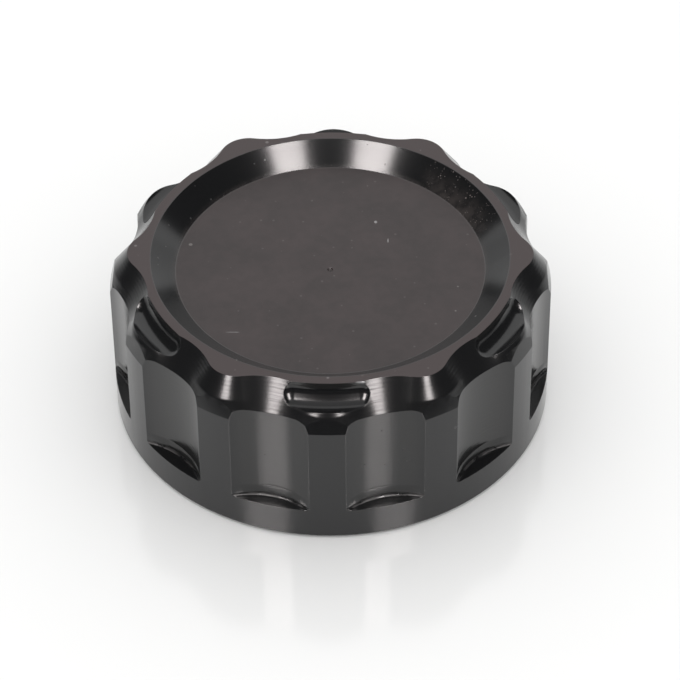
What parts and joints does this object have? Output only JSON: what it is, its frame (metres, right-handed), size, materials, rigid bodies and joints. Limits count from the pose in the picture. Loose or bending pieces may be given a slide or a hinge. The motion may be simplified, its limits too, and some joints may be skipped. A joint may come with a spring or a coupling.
{
  "type": "brake fluid reservoir cap",
  "caption": "Round screw-on metal cap with a fluted grip, wavy chamfered rim with milled troughs, dished top and a rubber diaphragm gasket inside, for closing a brake fluid reservoir.",
  "frame": {"origin": "middle of the open end, on the plane of the foot that the cap stands on", "axes": "+Z along the cap's axis, from the open end up to the dished top; -Y through the middle of a lobe that has a trough"},
  "size_m": [0.06, 0.06, 0.0242],
  "materials": {
    "anodised_shell": "black anodised, satin, with turning and milling marks",
    "gasket_rubber": "moulded, matt"
  },
  "bodies": {
    "root": {"cap_body": "anodised_shell", "diaphragm_gasket": "gasket_rubber"}
  },
  "joints": []
}
